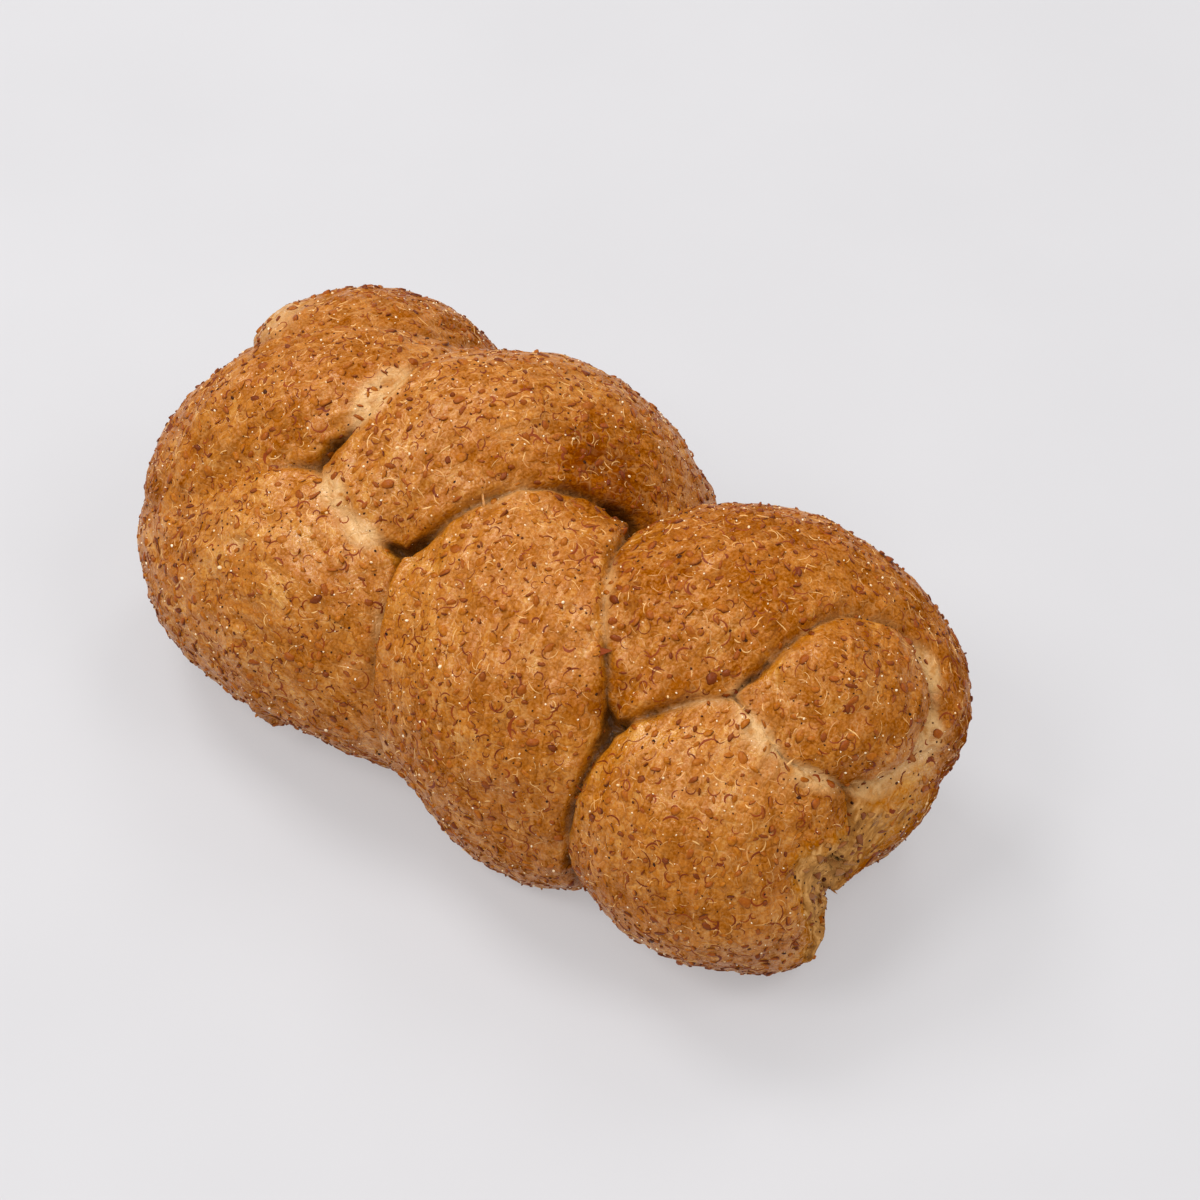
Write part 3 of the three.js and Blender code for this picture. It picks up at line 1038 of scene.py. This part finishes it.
def flake_material():
    """Bran baked into the skin: the skin's own colour, redder, with a dark rim on its lifted side that is
    partly the bran's dark edge and partly painted shade under the lift.
    """
    graph = Graph("bran")
    grain = graph.noise(graph.place(), FINE_SIZE * MM, 3.0)
    ground = graph.sum(graph.value("baked"), graph.spread(grain, 0.3, 0.7, -0.3, 0.3))
    shade = skin_ramp(graph, ground)
    bran = graph.ramp(graph.value("tone"), (0.0, BRAN_DARK), (0.3, BRAN_MIDDLE), (1.0, BRAN_LIGHT))
    shade = graph.mix(graph.spread(graph.value("tone"), 0.0, 1.0, 0.9, 0.2), shade, bran)
    # Painted shade and dark edge on the lifted side of each flake.
    shade = graph.mix(graph.spread(graph.value("rim"), 0.25, 0.6, 0.0, 0.9), shade, BRAN_EDGE_AND_SHADE)
    graph.set(graph.shader, {
        "Base Color": shade,
        "Roughness": 0.35,
        "Specular IOR Level": 0.15,
        "Normal": graph.bump(grain, 0.4, 0.2),
    })
    return graph.material


def chip_material(name, dark, light, shine):
    """Small things on the skin, each of its own shade between two colours."""
    graph = Graph(name)
    shade = graph.ramp(graph.value("tone"), (0.0, dark), (1.0, light))
    graph.set(graph.shader, {"Base Color": shade, "Roughness": 0.4, "Specular IOR Level": shine})
    return graph.material


def floor_material():
    """Pale surface with faint cloudy marks, glowing a little as painted light so that shadows on it stay
    light.
    """
    graph = Graph("floor")
    clouds = graph.noise(graph.place(), CLOUD_SIZE * MM, 5.0)
    shade = graph.ramp(graph.spread(clouds, 0.3, 0.7), (0.0, FLOOR_DARK), (1.0, FLOOR_LIGHT))
    graph.set(graph.shader, {
        "Base Color": shade,
        "Roughness": 0.75,
        "Emission Color": (1.0, 0.985, 1.0, 1.0),
        "Emission Strength": FLOOR_GLOW,
    })
    return graph.material


# Pieces of the roll

skin = make_skin()
skin_tree = BVHTree.FromPolygons(skin["points"].tolist(), skin["quads"].tolist())
low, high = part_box(NODE)
middle = (np.array(low) + np.array(high)) / 2 / MM
shift = middle - (skin["points"].min(axis=0) + skin["points"].max(axis=0)) / 2
shift[2] = 0


def make_piece(name, points, faces, values, material):
    """A piece of the roll, in metres in the solid's frame."""
    mesh = bpy.data.meshes.new(name)
    mesh.from_pydata(((points + shift) * MM).tolist(), [], faces.tolist())
    for label, value in values.items():
        if value.ndim == 1:
            mesh.attributes.new(label, "FLOAT", "POINT").data.foreach_set("value", value)
        else:
            mesh.attributes.new(label, "FLOAT_VECTOR", "POINT").data.foreach_set("vector", value.ravel())
    mesh.shade_smooth()
    mesh.materials.append(material)
    piece = bpy.data.objects.new(name, mesh)
    bpy.context.collection.objects.link(piece)
    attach(piece, BODY)
    return piece


def make_flakes(chance):
    """Bran flakes of all sizes, turned every way."""
    random = np.random.default_rng(1)
    spots = scatter(skin, FLAKE_COUNT, FLAKE_SPACING, chance, random)
    count = len(spots["places"])
    half = np.minimum(FLAKE_HALF * np.exp(random.normal(0, FLAKE_SPREAD, count)), FLAKE_LARGEST)
    slimness = random.normal(FLAKE_SLIMNESS, FLAKE_SLIMNESS_SPREAD, count)
    slimness = np.clip(slimness, FLAKE_SLIMMEST, FLAKE_ROUNDEST)
    height = FLAKE_HEIGHT * np.exp(random.normal(0, FLAKE_HEIGHT_SPREAD, count))
    curl = {"pointed": FLAKE_POINTED, "centre": FLAKE_CENTRE, "low_side": FLAKE_LOW_SIDE}
    shape = chips(spots, half, slimness, height, FLAKE_SIDES, random, **curl)
    return make_piece("bran_flakes", *shape, flake_material())


def make_specks(chance):
    """Dark bran specks, and the darkest of them standing in for pores as painted shade."""
    random = np.random.default_rng(2)
    spots = scatter(skin, SPECK_COUNT, SPECK_SPACING, chance, random)
    count = len(spots["places"])
    half = SPECK_HALF * np.exp(random.normal(0, CHIP_SPREAD, count))
    shape = chips(spots, half, np.full(count, CHIP_SLIMNESS), half * SPECK_HEIGHT, SPECK_SIDES, random)
    return make_piece("bran_specks_and_pore_shade", *shape, chip_material("specks", SPECK_DARK, SPECK_LIGHT, 0.1))


def make_grains_and_glints(chance):
    """Pale glossy grains, near white: partly pale grain, partly painted glints."""
    random = np.random.default_rng(3)
    spots = scatter(skin, GRAIN_COUNT, GRAIN_SPACING, chance, random)
    count = len(spots["places"])
    half = GRAIN_HALF * np.exp(random.normal(0, CHIP_SPREAD, count))
    shape = chips(spots, half, np.full(count, CHIP_SLIMNESS), half * GRAIN_HEIGHT, GRAIN_SIDES, random)
    return make_piece("pale_grains_and_glints", *shape, chip_material("grains_and_glints", GRAIN_GLINT_DARK, GRAIN_GLINT_LIGHT, 0.7))


def make_fibres(chance):
    """Pale bent fibres of bran."""
    random = np.random.default_rng(4)
    spots = scatter(skin, FIBRE_COUNT, FIBRE_SPACING, chance, random)
    count = len(spots["places"])
    length = FIBRE_LENGTH * np.exp(random.normal(0, FIBRE_LENGTH_SPREAD, count))
    bend = random.normal(0, FIBRE_TURN, count)
    half = FIBRE_HALF * np.exp(random.normal(0, FIBRE_HALF_SPREAD, count))
    shape = ridges(spots, length, half, FIBRE_HEIGHT, bend, random)
    return make_piece("pale_fibres", *shape, chip_material("fibres", FIBRE_DARK, FIBRE_LIGHT, 0.5))


def make_curls(chance):
    """Dark edges of bran, curled into hooks and rings."""
    random = np.random.default_rng(6)
    spots = scatter(skin, CURL_COUNT, CURL_SPACING, chance, random)
    count = len(spots["places"])
    length = CURL_LENGTH * np.exp(random.normal(0, CURL_LENGTH_SPREAD, count))
    bend = random.choice([-1, 1], count) * random.uniform(CURL_LEAST_TURN, CURL_MOST_TURN, count)
    half = CURL_HALF * np.exp(random.normal(0, CURL_HALF_SPREAD, count))
    shape = ridges(spots, length, half, CURL_HEIGHT, bend, random)
    return make_piece("bran_curls", *shape, chip_material("curls", BRAN_DARK, BRAN_MIDDLE, 0.15))


def make_shreds(chance):
    """Shreds of crust and crumb along the tear."""
    random = np.random.default_rng(5)
    spots = scatter(skin, SHRED_COUNT, SHRED_SPACING, chance, random)
    count = len(spots["places"])
    half = SHRED_HALF * np.exp(random.normal(0, SHRED_HALF_SPREAD, count))
    length = SHRED_LENGTH * np.exp(random.normal(0, SHRED_LENGTH_SPREAD, count))
    shape = shreds(spots, half, length, random)
    return make_piece("torn_shreds", *shape, chip_material("shreds", CRUST_DARK, CRUMB, 0.3))


crust = make_piece("crust", skin["points"], skin["quads"], skin["values"], crust_material())
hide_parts(NODE)
torn = skin["values"]["torn"]
outer = skin["points"][:, 2] > LOWEST_CHIP
open_skin = outer * (1 - torn) ** 2 * skin["clear"]
brown_skin = open_skin * (1 - PALE_BARE * skin["values"]["pale"])
make_flakes(brown_skin)
make_curls(brown_skin)
make_specks(outer * (1 + TORN_SPECKS * torn) * (1 - skin["values"]["shadow"]))
make_grains_and_glints(open_skin)
make_fibres(open_skin * skin["clear"] ** 2)
make_shreds(outer * torn ** 2)


# Floor, light and camera

def make_floor():
    """Wide pale surface under the roll."""
    mesh = bpy.data.meshes.new("floor")
    far = FLOOR_REACH
    corners = [(-far, -far, 0), (far, -far, 0), (far, far, 0), (-far, far, 0)]
    mesh.from_pydata(corners, [], [(0, 1, 2, 3)])
    mesh.materials.append(floor_material())
    item = bpy.data.objects.new("floor", mesh)
    bpy.context.collection.objects.link(item)


def make_light():
    """Even white surroundings and soft lamps all round overhead, the strongest at the far left."""
    world = bpy.data.worlds.new("studio")
    world.use_nodes = True
    world.node_tree.nodes["Background"].inputs["Color"].default_value = (1, 1, 1, 1)
    world.node_tree.nodes["Background"].inputs["Strength"].default_value = SKY
    bpy.context.scene.world = world
    for number, (x, y, z, watts) in enumerate(LAMPS):
        lamp = bpy.data.lights.new(f"lamp_{number}", "AREA")
        lamp.energy = watts
        lamp.size = LAMP_SIZE
        item = bpy.data.objects.new(f"lamp_{number}", lamp)
        item.location = (x, y, z)
        item.rotation_euler = (Vector(LAMP_AIM) - item.location).to_track_quat("-Z", "Y").to_euler()
        bpy.context.collection.objects.link(item)


def make_camera():
    """The photograph's view."""
    azimuth = math.radians(CAMERA_AZIMUTH)
    elevation = math.radians(CAMERA_ELEVATION)
    level = math.cos(elevation)
    back = Vector((math.sin(azimuth) * level, -math.cos(azimuth) * level, math.sin(elevation)))
    right = Vector((math.cos(azimuth), math.sin(azimuth), 0))
    up = back.cross(right)
    target = Vector((shift + np.array(CAMERA_TARGET)) * MM)
    data = bpy.data.cameras.new("camera")
    data.angle = math.radians(CAMERA_FIELD)
    item = bpy.data.objects.new("camera", data)
    turn = Matrix([right, up, back]).transposed().to_4x4()
    item.matrix_world = Matrix.Translation(target + back * CAMERA_DISTANCE * MM) @ turn
    bpy.context.collection.objects.link(item)
    bpy.context.scene.camera = item


make_floor()
make_light()
make_camera()
bpy.context.scene.view_settings.view_transform = "Standard"
